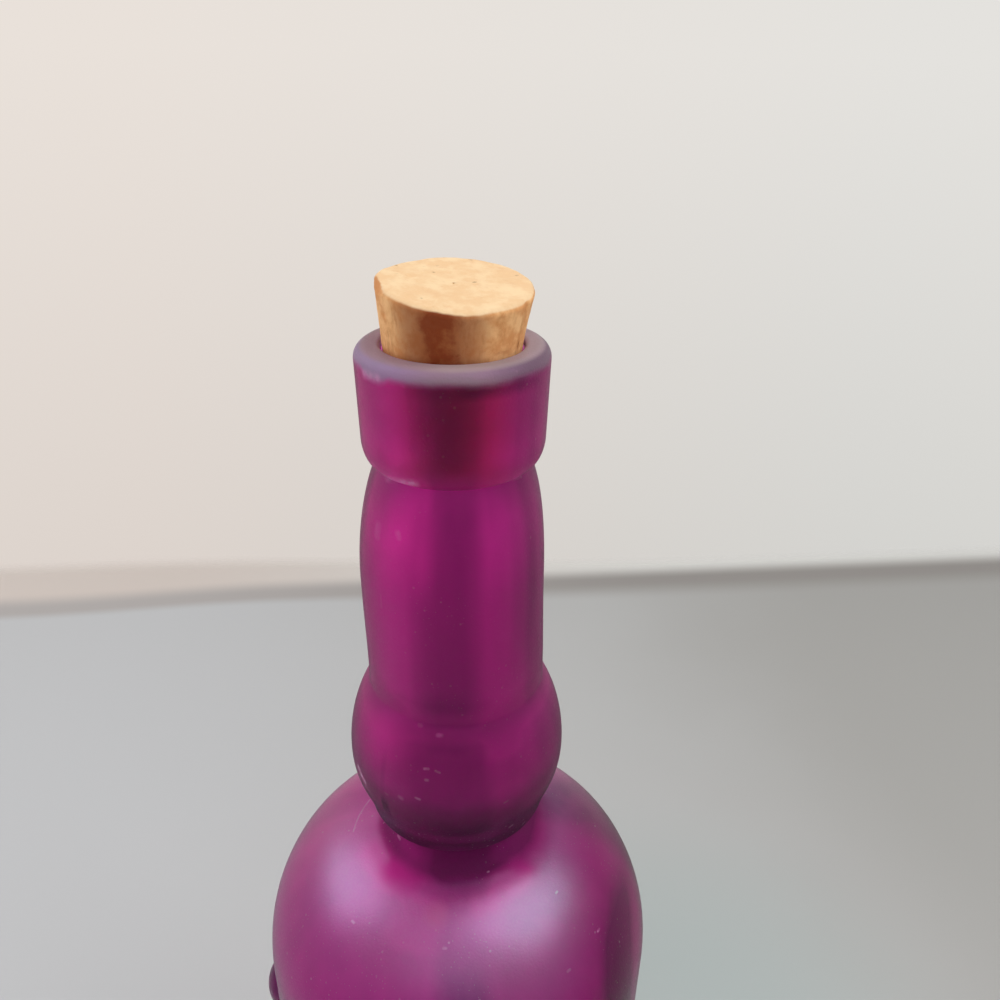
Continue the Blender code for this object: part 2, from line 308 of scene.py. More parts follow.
def fillet(near, end, towards_end, upright, steps):
    """Fillet from the last of two section points to an upright wall at end."""
    before, start = near
    run = Vector((start[0] - before[0], start[1] - before[1])).normalized()
    reach = FILLET_HANDLE_SHARE * towards_end
    handle = (start[0] + run.x * reach, start[1] + run.y * reach)
    return bend(start, handle, (end[0], end[1] - upright * reach), end, steps)


def spread(start, end, step):
    """Values from start to end, both included, at most a step apart."""
    count = math.ceil((end - start) / step)
    return [start + (end - start) * place / count for place in range(count + 1)]


def wall():
    """Straight drafted wall between heel and dome, its rows close together at the boss."""
    z = levels()
    low, high = BOSS_HEIGHT - BOSS_REACH, BOSS_HEIGHT + BOSS_REACH
    heights = spread(z["heel"], low, WALL_ROW)[1:] + spread(low, high, BOSS_ROW)[1:]
    heights += spread(high, z["body_top"], WALL_ROW)[1:-1]
    return [(BODY_RADIUS - BODY_DRAFT * (z["body_top"] - height) / BODY_HEIGHT, height)
            for height in heights]


def shoulder():
    """Dome from the wall's top, and its fillet into the waist."""
    r, z = radii(), levels()
    width = r["body"] - r["waist"]
    trim = math.degrees(math.acos(WAIST_FILLET / width))
    dome = arc((r["waist"], z["body_top"]), (width, SHOULDER_HEIGHT), 0, trim, 36)
    return dome + fillet(dome[-2:], (r["waist"], z["waist"]), WAIST_FILLET, 1, 12)[1:]


def knop():
    """Waist to the neck: round under-edge, tapering side, ball top, fillet into the neck."""
    r, z = radii(), levels()
    taper = math.radians(KNOP_BASE_TAPER_DEGREES)
    base = (r["knop_base"], z["waist"] + KNOP_BASE_HEIGHT)
    reach = (z["knop"] - base[1]) * KNOP_HANDLE_SHARE
    side = bend((r["knop"], z["knop"]), (r["knop"], z["knop"] - reach),
                (base[0] + reach * math.tan(taper), base[1] + reach), base, 22)
    centre = (base[0] - KNOP_BASE_ROUND * math.cos(taper),
              base[1] + KNOP_BASE_ROUND * math.sin(taper))
    edge = arc(centre, (KNOP_BASE_ROUND, KNOP_BASE_ROUND), -KNOP_BASE_TAPER_DEGREES, -75, 10)
    under = fillet(edge[-2:], (r["waist"], z["waist"]), edge[-1][1] - z["waist"], -1, 14)
    upper = [(radius, z["knop"] + rise)
             for radius, rise in ball(r["knop"], r["neck_root"], KNOP_TOP_HEIGHT, 22)]
    foot = fillet(upper[-2:], (r["neck"], z["neck_foot"] + NECK_FOOT_FILLET),
                  NECK_FOOT_FILLET, 1, 8)
    return under[-2::-1] + edge[-2:0:-1] + side[::-1] + upper[1:] + foot[1:]


def neck():
    """Stem and swell up to the bottom of the groove."""
    r, z = radii(), levels()
    stem = [(r["neck"], height)
            for height in spread(z["neck_foot"] + NECK_FOOT_FILLET, z["neck"], NECK_ROW)]
    reach = NECK_SWELL_HEIGHT * FILLET_HANDLE_SHARE
    swell = bend((r["neck"], z["neck"]), (r["neck"], z["neck"] + reach),
                 (r["groove"] + GROOVE_DEPTH * FILLET_HANDLE_SHARE, z["groove"] - GROOVE_DEPTH),
                 (r["groove"], z["groove"]), 24)
    return stem[1:-1] + swell


def collar_and_lip():
    """Rounded collar foot, drafted wall, rounded crown and the edge of the mouth."""
    r, z = radii(), levels()
    foot = arc((r["groove"], z["collar_foot"]), (GROOVE_DEPTH, COLLAR_FOOT_HEIGHT), -75, 0, 14)
    wall_height = COLLAR_HEIGHT - LIP_ROUND
    side = [(r["collar"] + COLLAR_DRAFT * share, z["collar_foot"] + wall_height * share)
            for share in (0.25, 0.5, 0.75)]
    crown = arc((r["lip"] - LIP_ROUND, z["lip"] - LIP_ROUND), (LIP_ROUND, LIP_ROUND), 0, 90, 14)
    mouth_centre = (bore_radius(z["lip"] - MOUTH_ROUND) + MOUTH_ROUND, z["lip"] - MOUTH_ROUND)
    mouth = arc(mouth_centre, (MOUTH_ROUND, MOUTH_ROUND), 90, 180, 8)
    return foot + side + crown + mouth


def outside():
    """Middle of the push-up, up the outside, over the lip and into the mouth."""
    r = radii()
    push_up = arc((0, 0), (r["ring"] - RING_WIDTH, PUSH_UP_HEIGHT), 90, 0, 18)
    heel = arc((r["ring"], HEEL_ROUND), (HEEL_ROUND, HEEL_ROUND), -90, 0, 14)
    return push_up + heel + wall() + shoulder() + knop() + neck() + collar_and_lip()


def inside():
    """Down the bore to the middle of the floor."""
    r, z = radii(), levels()
    neck_bore = r["neck"] - NECK_WALL
    knop_bore = r["knop"] - KNOP_WALL
    body_bore = r["body"] - BODY_WALL
    heel_bore = r["heel"] - BODY_WALL
    dome_top = z["shoulder_top"] - BODY_WALL
    seat_foot, seat_top = z["groove"], z["lip"] - MOUTH_ROUND
    seat = [seat_foot + (seat_top - seat_foot) * share for share in (0.75, 0.5, 0.25)]
    section = [(bore_radius(height), height) for height in seat]
    section += upright_bend((bore_radius(seat_foot), seat_foot), (neck_bore, z["neck"]), 14)
    section += upright_bend((neck_bore, z["neck_foot"]), (knop_bore, z["knop"]), 16)
    section += upright_bend((knop_bore, z["knop"]), (WAIST_BORE_RADIUS, z["waist"]), 18)[1:]
    width = body_bore - WAIST_BORE_RADIUS
    trim = math.degrees(math.acos(WAIST_FILLET / width))
    dome = arc((WAIST_BORE_RADIUS, z["body_top"]), (width, dome_top - z["body_top"]), 0, trim, 26)
    root = fillet(dome[-2:], (WAIST_BORE_RADIUS, dome_top + WAIST_FILLET), WAIST_FILLET, 1, 9)
    section += root[::-1] + dome[-2::-1]
    wall_drop = FLOOR_THICKNESS + INNER_HEEL_ROUND - z["body_top"]
    for row in range(1, BORE_WALL_ROWS):
        share = row / BORE_WALL_ROWS
        section.append((body_bore + (heel_bore - body_bore) * share,
                        z["body_top"] + wall_drop * share))
    section += arc((heel_bore - INNER_HEEL_ROUND, FLOOR_THICKNESS + INNER_HEEL_ROUND),
                   (INNER_HEEL_ROUND, INNER_HEEL_ROUND), 0, -90, 10)
    section += arc((0, FLOOR_THICKNESS), (r["ring"] - RING_WIDTH, PUSH_UP_HEIGHT), 0, 90, 12)
    return section


def bearings():
    """Angles of the sectors in degrees, close together where the boss is."""
    half = math.degrees(BOSS_REACH / BODY_RADIUS)
    angles = []
    angle = BOSS_TURN_DEGREES - half
    while angle < BOSS_TURN_DEGREES + half:
        angles.append(angle)
        angle += BOSS_SECTOR_DEGREES
    rest = BOSS_TURN_DEGREES - half + 360 - angle
    count = math.ceil(rest / SECTOR_DEGREES)
    return angles + [angle + rest * step / count for step in range(count)]


def boss_rise(angle, height):
    """How far the outer wall swells out at a bearing and a height, for the boss."""
    across = BODY_RADIUS * math.radians((angle - BOSS_TURN_DEGREES + 180) % 360 - 180)
    far = math.hypot(across, height - BOSS_HEIGHT) / BOSS_RADIUS
    depth = BOSS_STAND_OUT + BOSS_SINK
    cap = depth * math.sqrt(1 - far * far) if far < 1 else 2 * depth * (1 - far)
    cap -= BOSS_SINK
    return (cap + math.hypot(cap, BOSS_FILLET)) / 2


def bow(height):
    """How far the turned section's centre stands off the axis, because the neck is bowed."""
    z = levels()
    share = (height - z["neck_foot"]) / (z["collar_foot"] - z["neck_foot"])
    return -NECK_BOW * math.sin(math.pi * min(1.0, max(0.0, share))) ** 2


def turned(name, section, inner_start, angles):
    """Closed wall of revolution. Rows from inner_start on take the second material."""
    points, faces, kinds, rings = [], [], [], []
    for row, (radius, height) in enumerate(section):
        if radius < 1e-7:
            rings.append([len(points)])
            points.append((0, 0, height))
            continue
        ring = []
        by_boss = row < inner_start and abs(height - BOSS_HEIGHT) < BOSS_REACH
        for angle in angles:
            reach = radius + (boss_rise(angle, height) if by_boss else 0.0)
            turn = math.radians(angle)
            ring.append(len(points))
            points.append((bow(height) + reach * math.cos(turn), reach * math.sin(turn), height))
        rings.append(ring)
    for row, (lower, upper) in enumerate(zip(rings, rings[1:])):
        for step in range(len(angles)):
            after = (step + 1) % len(angles)
            if len(lower) == 1:
                faces.append((lower[0], upper[after], upper[step]))
            elif len(upper) == 1:
                faces.append((lower[step], lower[after], upper[0]))
            else:
                faces.append((lower[step], lower[after], upper[after], upper[step]))
            kinds.append(1 if row >= inner_start else 0)
    mesh = bpy.data.meshes.new(name)
    mesh.from_pydata(points, [], faces)
    mesh.polygons.foreach_set("material_index", kinds)
    mesh.shade_smooth()
    mesh.update()
    return mesh


def placed(name, mesh, materials):
    """New object in the scene that holds a mesh and its materials."""
    piece = bpy.data.objects.new(name, mesh)
    bpy.context.scene.collection.objects.link(piece)
    for material in materials:
        mesh.materials.append(material)
    return piece


def cork_top(x, y):
    """Height of the cork's slanted top above its foot."""
    back = math.tan(math.radians(CORK_SLANT_BACK_DEGREES))
    side = math.tan(math.radians(CORK_SLANT_SIDE_DEGREES))
    waves = noise.fractal(Vector((x, y, 0)) / CORK_WAVE_SIZE, 0.7, 2.0, 3) * CORK_WAVE_HEIGHT
    leftward, backward = -x / CORK_TOP_RADIUS, y / CORK_TOP_RADIUS
    fold = (leftward + math.hypot(leftward, CORK_FOLD_SHARE) - CORK_FOLD_SHARE) / 2
    fold *= min(1.0, max(0.0, 1.0 - backward / CORK_LEFT_REACH_SHARE))
    middle = CORK_LENGTH + CORK_CENTRE_RISE + CORK_LEFT_RISE * fold
    return middle + back * y - side * x + waves


def head_share(height):
    """How far up its head the cork is at a height above its foot, from none at the lip."""
    return max(0.0, (height - CORK_SEAT_DEPTH) / (CORK_LENGTH - CORK_SEAT_DEPTH))


def cork_taper(height):
    """Radius of the cork at a height above its foot."""
    plain = CORK_FOOT_RADIUS + (CORK_TOP_RADIUS - CORK_FOOT_RADIUS) * height / CORK_LENGTH
    return plain + CORK_HEAD_SPREAD * head_share(height) ** 2


def cork_section(angle):
    """Radius and height of the cork's surface at one bearing, foot centre to top centre."""
    ways = (math.cos(angle), math.sin(angle))
    foot = cork_taper(CORK_FOOT_CHAMFER)
    rows = [((foot - CORK_FOOT_CHAMFER) * step / CORK_FOOT_ROWS, 0.0)
            for step in range(1, CORK_FOOT_ROWS + 1)]
    rim = cork_top(CORK_TOP_RADIUS * ways[0], CORK_TOP_RADIUS * ways[1])
    side_top = rim - CORK_RIM_ROUND
    for step in range(CORK_SIDE_ROWS + 1):
        height = CORK_FOOT_CHAMFER + (side_top - CORK_FOOT_CHAMFER) * step / CORK_SIDE_ROWS
        rows.append((cork_taper(height), height))
    edge = cork_taper(side_top)
    for step in range(1, CORK_RIM_ROWS):
        turn = math.radians(90 * step / CORK_RIM_ROWS)
        rows.append((edge - CORK_RIM_ROUND * (1 - math.cos(turn)),
                     side_top + CORK_RIM_ROUND * math.sin(turn)))
    for step in range(CORK_TOP_ROWS):
        radius = (edge - CORK_RIM_ROUND) * (1 - step / CORK_TOP_ROWS)
        rows.append((radius, cork_top(radius * ways[0], radius * ways[1])))
    return rows


def pitted(point, outward):
    """The point moved a little for the grain and the pits of natural cork."""
    drawn_out = Vector((point.x, point.y, point.z * 0.5))
    grain = noise.fractal(drawn_out / CORK_GRAIN_SIZE, 0.8, 2.0, 4)
    nearest = noise.voronoi(point / CORK_PIT_SPACING)[0][0]
    patch = max(0.0, min(1.0, noise.noise(point / CORK_PIT_PATCH_SIZE) * 3.0))
    pit = max(0.0, 1 - nearest / CORK_PIT_SIZE_SHARE) * patch
    return point + outward * (grain * CORK_GRAIN_DEPTH - pit * CORK_PIT_DEPTH)


def cork_mesh(name, foot_height):
    """Natural cork: tapered, slanted, worn round its rim, chipped and pitted."""
    turn = Matrix.Rotation(math.radians(CORK_CHIP_TURN_DEGREES), 3, "Z")
    lean = math.radians(CORK_CHIP_LEAN_DEGREES)
    chip_way = turn @ Vector((math.cos(lean), 0, math.sin(lean)))
    chip_radius = CORK_TOP_RADIUS - CORK_CHIP_DEPTH
    chip_spot = turn @ Vector((chip_radius, 0, CORK_LENGTH + CORK_CHIP_RISE))
    columns = []
    chipped = []
    for sector in range(CORK_SECTORS):
        angle = math.tau * sector / CORK_SECTORS
        column = []
        for radius, height in cork_section(angle):
            point = Vector((radius * math.cos(angle), radius * math.sin(angle), height))
            point.x += CORK_HEAD_LEAN * head_share(height)
            over = chip_way.dot(point - chip_spot)
            rough = noise.fractal(point / CORK_CHIP_GRAIN_SIZE, 0.7, 2.0, 3) * CORK_CHIP_GRAIN_DEPTH
            bite = max(0.0, over + rough) if over > -CORK_CHIP_NEAR else 0.0
            point -= chip_way * bite
            level = height > CORK_LENGTH * 0.5 and radius < CORK_TOP_RADIUS * 0.93
            outward = Vector((0, 0, 1)) if level else Vector((point.x, point.y, 0)).normalized()
            if height <= 0.0:
                outward = Vector((0, 0, -1))
            column.append(pitted(point, outward))
            chipped.append(min(1.0, bite / CORK_CHIP_FRESH_DEPTH))
        columns.append(column)
    rows = len(columns[0])
    points = [tuple(p) for column in columns for p in column]
    points += [(0, 0, 0), (0, 0, cork_top(0, 0))]
    chipped += [0.0, 0.0]
    bottom, top = len(points) - 2, len(points) - 1
    faces = []
    for sector in range(CORK_SECTORS):
        here, there = sector * rows, (sector + 1) % CORK_SECTORS * rows
        faces.append((bottom, there, here))
        for row in range(rows - 1):
            faces.append((here + row, there + row, there + row + 1, here + row + 1))
        faces.append((top, here + rows - 1, there + rows - 1))
    mesh = bpy.data.meshes.new(name)
    mesh.from_pydata([(x, y, z + foot_height) for x, y, z in points], [], faces)
    mesh.attributes.new("chipped", "FLOAT", "POINT").data.foreach_set("value", chipped)
    mesh.shade_smooth()
    mesh.update()
    return mesh


class Graph:
    """Short way to write a node tree: each call adds a node and returns its output."""

    def __init__(self, owner):
        owner.use_nodes = True
        self.owner = owner
        self.tree = owner.node_tree
        self.shader = self.tree.nodes.get("Principled BSDF")

    def put(self, socket, value):
        """Link an output to a socket, or set its value."""
        if isinstance(value, bpy.types.NodeSocket):
            self.tree.links.new(value, socket)
        else:
            socket.default_value = value

    def add(self, kind, inputs, output=0, **settings):
        """Any node, with its inputs and its settings."""
        node = self.tree.nodes.new(kind)
        for key, value in settings.items():
            setattr(node, key, value)
        for key, value in inputs.items():
            self.put(node.inputs[key], value)
        return node.outputs[output]

    def set(self, **values):
        """Set the shader's own sockets, an underscore standing for a space."""
        for key, value in values.items():
            self.put(self.shader.inputs[key.replace("_", " ")], value)

    def spot(self):
        """Place on the piece, in metres."""
        return self.add("ShaderNodeTexCoord", {}, "Object")

    def stretched(self, scale):
        """The same place with its axes scaled."""
        return self.add("ShaderNodeMapping", {"Vector": self.spot(), "Scale": scale})

    def grain(self, where, scale, detail=3.0, roughness=0.55):
        """Cloudy noise round one half."""
        return self.add("ShaderNodeTexNoise", {"Vector": where, "Scale": scale, "Detail": detail,
                                               "Roughness": roughness}, "Fac")

    def cells(self, where, scale):
        """Distance from the nearest of many scattered points."""
        return self.add("ShaderNodeTexVoronoi", {"Vector": where, "Scale": scale}, "Distance")

    def maths(self, operation, a, b):
        """One operation on two numbers."""
        return self.add("ShaderNodeMath", {0: a, 1: b}, operation=operation)

    def product(self, first, *others):
        """All the numbers multiplied."""
        for other in others:
            first = self.maths("MULTIPLY", first, other)
        return first

    def vector(self, operation, a, b):
        """One operation on two vectors. A dot product or a distance comes back as a number."""
        output = "Value" if operation in ("DOT_PRODUCT", "DISTANCE") else "Vector"
        return self.add("ShaderNodeVectorMath", {0: a, 1: b}, output, operation=operation)

    def span(self, value, low, high, to_low=0.0, to_high=1.0, shape="SMOOTHSTEP"):
        """Step of a value from one range to another, smooth unless its shape says otherwise."""
        return self.add("ShaderNodeMapRange", {"Value": value, "From Min": low, "From Max": high,
                                               "To Min": to_low, "To Max": to_high},
                        interpolation_type=shape)

    def blend(self, share, a, b):
        """Mix of two colours."""
        node = self.tree.nodes.new("ShaderNodeMix")
        node.data_type = "RGBA"
        self.put(node.inputs["Factor"], share)
        self.put(node.inputs[6], a if isinstance(a, bpy.types.NodeSocket) else (*a, 1.0))
        self.put(node.inputs[7], b if isinstance(b, bpy.types.NodeSocket) else (*b, 1.0))
        return node.outputs[2]

    def part(self, vector, axis):
        """One coordinate of a vector."""
        return self.add("ShaderNodeSeparateXYZ", {0: vector}, axis)

    def bump(self, height, distance, strength):
        """Normal that a relief gives the surface."""
        return self.add("ShaderNodeBump", {"Height": height, "Distance": distance,
                                           "Strength": strength})

    def ragged(self, value, scale, amount):
        """The value moved up and down a little by noise."""
        centred = self.maths("SUBTRACT", self.grain(self.spot(), scale), 0.5)
        return self.maths("ADD", value, self.maths("MULTIPLY", centred, amount))

    def facing(self, bearing_degrees):
        """Cosine of the angle round the axis from a bearing."""
        turn = math.radians(bearing_degrees)
        flat = self.vector("MULTIPLY", self.spot(), (1, 1, 0))
        way = self.add("ShaderNodeVectorMath", {0: flat}, operation="NORMALIZE")
        return self.vector("DOT_PRODUCT", way, (math.cos(turn), math.sin(turn), 0))

    def towards(self, bearing_degrees, reach_degrees, full_degrees=0.0, amount=1.0, rest=0.0):
        """Amount that is full near a bearing and falls to its rest where the reach ends."""
        return self.span(self.facing(bearing_degrees), math.cos(math.radians(reach_degrees)),
                         math.cos(math.radians(full_degrees)), rest, amount)


def streaks():
    """Uneven stain, with painted light and shade: bearing, half width, lowest and highest place, soft
    ends, how much deeper.
    """
    z = levels()
    wide = 0.006
    # Rows near bearing -90 up the front of the body, knop and neck paint the dark band of something dark
    # seen through the glass. The row from the dome's top to the waist paints the knop's shadow there.
    # The paler rows left and right of the front, on the neck and knop, paint light on their sides. The
    # paler rows just under the dome's top paint light shining through beside that shadow. The narrow row
    # at -127.5 paints a shadow line under the knop.
    return [(-90.0, 27.0, z["waist"], z["knop"] + 0.0115, wide, 0.33),
            (-93.0, 26.0, z["knop"] + 0.0115, z["neck"] + 0.0051, wide, 0.47),
            (-86.0, 21.0, z["neck"] + 0.0051, z["groove"], wide, 0.56),
            (-94.0, 20.0, z["neck_foot"] + 0.0012, z["neck_foot"] + 0.0059, 0.003, 0.16),
            (-84.0, 18.0, z["collar_foot"], z["lip"] - 0.0040, 0.002, 0.26),
            (-128.0, 18.0, z["collar_foot"], z["lip"], 0.002, -0.36),
            (-57.0, 10.0, z["collar_foot"], z["lip"], 0.002, -0.15),
            (-153.0, 9.0, z["collar_foot"], z["lip"], 0.002, 0.08),
            (-72.0, 62.0, z["lip"] - 0.0042, z["lip"], 0.0010, 0.30),
            (-62.0, 28.0, z["lip"] - 0.0042, z["lip"], 0.0010, 0.42),
            (-50.0, 15.0, z["groove"] - 0.0059, z["groove"] + 0.0011, 0.003, -0.25),
            (-108.0, 9.0, z["groove"] - 0.0034, z["collar_foot"], 0.003, -0.30),
            (-38.0, 16.0, z["neck"] - 0.0089, z["groove"] - 0.0094, wide, 0.20),
            (-28.0, 22.0, z["knop"] + 0.0044, z["neck_foot"] + 0.0004, 0.003, 0.25),
            (-140.0, 26.0, z["neck_foot"] - 0.0021, z["neck_foot"] + 0.0037, 0.0015, -0.55),
            (-92.0, 14.0, z["neck_foot"] - 0.0041, z["neck_foot"] - 0.0011, 0.0010, 0.16),
            (-52.0, 18.0, z["neck_foot"] + 0.0004, z["neck_foot"] + 0.0059, 0.0020, -0.25),
            (-60.0, 14.0, z["neck_foot"] - 0.0061, z["neck_foot"] - 0.0016, 0.0015, -0.35),
            (-58.0, 14.0, z["knop"] - 0.0026, z["knop"] + 0.0044, 0.002, -0.30),
            (-120.0, 14.0, z["knop"] - 0.0026, z["knop"] + 0.0034, 0.002, -0.24),
            (-86.0, 26.0, z["shoulder_top"] - 0.0008, z["waist"], 0.0010, 0.68),
            (-136.0, 26.0, z["knop"] - 0.006, z["neck_foot"], wide, -0.12),
            (-136.0, 26.0, z["neck_foot"], z["groove"] - 0.0099, wide, -0.30),
            (-136.0, 28.0, z["groove"] - 0.0099, z["lip"], 0.004, -0.70),
            (-62.0, 14.0, z["knop"], z["lip"], wide, -0.12),
            (-26.0, 16.0, z["neck_foot"] - 0.0071, z["lip"], wide, 0.24),
            (-127.5, 3.5, z["waist"] + 0.0059, z["knop"] - 0.0016, 0.0015, 0.90),
            (-128.0, 2.0, z["knop"] - 0.0016, z["neck_foot"] - 0.0071, 0.002, 0.14),
            (-86.0, 12.0, 0.060, z["shoulder_top"] - 0.0074, wide, 0.72),
            (20.0, 25.0, 0.080, z["waist"], wide, 0.60),
            (2.0, 26.0, z["waist"], z["lip"], wide, 0.46),
            (-106.0, 15.0, z["shoulder_top"] - 0.0054, z["shoulder_top"] - 0.0008, 0.0008, -0.30),
            (-74.0, 10.0, z["shoulder_top"] - 0.0019, z["shoulder_top"] - 0.0007, 0.0008, -0.30),
            (-136.0, 30.0, z["shoulder_top"] - 0.0013, z["shoulder_top"] - 0.0002, 0.0008, -0.50),
            (-54.0, 20.0, z["shoulder_top"] - 0.0013, z["shoulder_top"] - 0.0002, 0.0008, -0.55),
            (-18.0, 30.0, z["shoulder_top"] - 0.0010, z["waist"] - 0.0016, 0.0012, 0.34),
            (48.0, 10.0, z["waist"], z["lip"], wide, 0.22),
            (96.0, 26.0, z["waist"], z["groove"], wide, 0.26),
            (133.0, 18.0, 0.030, z["lip"], wide, -0.16),
            (166.0, 11.0, 0.070, z["neck"], wide, 0.20),
            (-172.0, 18.0, z["waist"], z["lip"], wide, 0.33)]


def right_band(g, height):
    """Share of the darker upright band on the right of the body."""
    x, y = g.part(g.spot(), "X"), g.part(g.spot(), "Y")
    return g.product(g.span(x, 0.0277, 0.0322), g.span(x, 0.0388, 0.0352),
                     g.span(y, 0.002, -0.010), g.span(height, 0.2360, 0.2280))


def stain_and_painted_shading_depth(g, height):
    """How deep the stain is: soft clouds, streaks with painted light and shade, painted shade with some
    pooled stain below the knop, and painted light round the neck's foot.
    """
    z = levels()
    cloud = g.grain(g.stretched((1, 1, 0.4)), 30.0)
    fine_streak = g.grain(g.stretched((1, 1, 0.06)), 150.0, 2.0)
    depth = g.maths("ADD", g.span(cloud, 0.3, 0.7, 0.18, 0.34),
                    g.span(fine_streak, 0.3, 0.7, -0.06, 0.06))
    uneven = right_band(g, height)
    for bearing, half_width, low, high, soft, amount in streaks():
        above = g.span(height, low - soft, low + soft)
        below = g.span(height, high + soft, high - soft)
        streak = g.product(g.towards(bearing, half_width, amount=amount), above, below)
        uneven = g.maths("ADD", uneven, streak)
    fading = g.span(height, STREAKS_END, STREAKS_FADE)
    depth = g.maths("ADD", depth, g.product(uneven, fading))
    # Deeper below the knop: painted shade under the knop, with some pooled stain.
    under_knop = g.span(height, z["knop"] + 0.001, z["waist"] + 0.0035, 0.08, 0.60)
    over_shoulder = g.span(height, z["shoulder_top"] - 0.0006, z["shoulder_top"] + 0.0010)
    depth = g.maths("ADD", depth, g.product(under_knop, over_shoulder))
    # Paler over the knop's top and in the crease at the neck's foot: painted light.
    foot = z["neck_foot"]
    crown = g.product(g.span(height, foot - 0.0065, foot - 0.0010),
                      g.span(height, foot + 0.0050, foot + 0.0014))
    crease = g.product(g.span(height, foot - 0.0034, foot - 0.0014),
                       g.span(height, foot + 0.0008, foot - 0.0006))
    for painted_light in (crown, crease):
        depth = g.maths("SUBTRACT", depth, g.maths("MULTIPLY", painted_light, NECK_FOOT_PAINTED_LIGHT))
    return depth


def marks():
    """Scuffs, scratches and painted highlights: bearing and height of both ends, half width and
    strength.
    """
    # The rows at the lip's left and along the groove are painted highlights, and the row at the knop's
    # left edge paints a bright highlight on a small mark there.
    return [((-146, 0.3439), (-132, 0.3441), 0.00070, 0.60),
            ((-141, 0.3265), (-112, 0.3277), 0.00080, 0.70),
            ((-50, 0.3268), (-32, 0.3262), 0.00040, 0.30),
            ((-140, 0.3180), (-140, 0.3164), 0.00070, 0.32),
            ((-123, 0.3184), (-122, 0.3178), 0.00050, 0.30),
            ((-165, 0.3178), (-166, 0.3168), 0.00050, 0.25),
            ((-135, 0.3058), (-135, 0.3034), 0.00030, 0.25),
            ((-110, 0.2811), (-109, 0.2811), 0.00030, 0.30),
            ((-98, 0.2801), (-96, 0.2801), 0.00035, 0.30),
            ((-104, 0.2741), (-102, 0.2742), 0.00022, 0.55),
            ((-98, 0.2740), (-96, 0.2738), 0.00020, 0.45),
            ((-103, 0.2720), (-102, 0.2720), 0.00025, 0.40),
            ((-117, 0.2666), (-116, 0.2665), 0.00038, 0.42),
            ((-108, 0.2677), (-106, 0.2676), 0.00022, 0.65),
            ((-63, 0.2656), (-61, 0.2658), 0.00018, 0.50),
            ((-126, 0.2658), (-125, 0.2657), 0.00025, 0.45),
            ((-151, 0.2655), (-144, 0.2640), 0.00055, 1.0),
            ((-55, 0.2561), (-54, 0.2563), 0.00035, 0.35),
            ((-42, 0.2532), (-41, 0.2534), 0.00030, 0.35),
            ((-148, 0.2446), (-144, 0.2445), 0.00022, 0.50),
            ((-66, 0.2428), (-65, 0.2428), 0.00014, 0.60),
            ((-39, 0.2391), (-38, 0.2391), 0.00018, 0.80),
            ((-34, 0.2319), (-33, 0.2319), 0.00022, 0.70),
            ((-51, 0.2310), (-50, 0.2310), 0.00022, 0.75),
            ((-93, 0.2379), (-92, 0.2379), 0.00022, 0.55),
            ((-132, 0.2370), (-131, 0.2370), 0.00022, 0.70),
            ((165, 0.2414), (188, 0.2408), 0.00014, 0.65)]


def outer_radius(height):
    """Widest radius of the outer wall at a height."""
    found = 0.0
    for (near, low), (far, high) in zip(outside(), outside()[1:]):
        if low <= height <= high and high > low:
            found = max(found, near + (far - near) * (height - low) / (high - low))
    return found


def place_on_wall(bearing, height):
    """Point of the outer wall at a bearing in degrees and a height."""
    turn = math.radians(bearing)
    radius = outer_radius(height)
    return Vector((radius * math.cos(turn), radius * math.sin(turn), height))


def mark_pieces():
    """The marks cut into pieces short enough to lie on the round wall."""
    pieces = []
    for (bearing, height), (end_bearing, end_height), half_width, strength in marks():
        count = math.ceil(abs(end_bearing - bearing) / MARK_PIECE_DEGREES) or 1
        turn, rise = (end_bearing - bearing) / count, (end_height - height) / count
        for step in range(count):
            near = place_on_wall(bearing + turn * step, height + rise * step)
            far = place_on_wall(bearing + turn * (step + 1), height + rise * (step + 1))
            pieces.append((near, far, half_width, strength))
    return pieces


def worn_marks_and_painted_highlights(g):
    """How far the marks take the stain off, the painted highlights among them lightening it alike: each
    fades with the distance from its line.
    """
    worn = 0.0
    for near, far, half_width, strength in mark_pieces():
        way = (far - near).normalized()
        from_near = g.vector("SUBTRACT", g.spot(), near)
        along = g.maths("MAXIMUM", g.vector("DOT_PRODUCT", from_near, way), 0.0)
        along = g.maths("MINIMUM", along, (far - near).length)
        foot = g.add("ShaderNodeVectorMath", {0: way, "Scale": along}, operation="SCALE")
        away = g.vector("DISTANCE", from_near, foot)
        mark = g.span(away, half_width * MARK_FADES_OUT, half_width * MARK_FULL, 0.0, strength)
        worn = g.maths("MAXIMUM", mark, worn)
    return g.maths("MULTIPLY", worn, g.span(g.grain(g.spot(), 1300.0, 2.0), 0.38, 0.55, 0.45, 1.0))


def wear_and_painted_highlights(g, height):
    """How far specks, dust and marks have taken the stain off, the marks' painted highlights included.
    """
    z = levels()
    specks = g.span(g.cells(g.spot(), 420.0), 0.12, 0.06, 0.0, 0.50)
    dust = g.span(g.cells(g.spot(), 1150.0), 0.15, 0.07, 0.0, 0.35)
    patches = g.span(g.grain(g.spot(), 60.0, 2.0), 0.48, 0.60)
    few_above = g.span(height, z["knop"], z["waist"], 0.25, 1.0)
    specks = g.product(g.maths("MAXIMUM", specks, dust), patches, few_above)
    return g.maths("MAXIMUM", specks, worn_marks_and_painted_highlights(g))


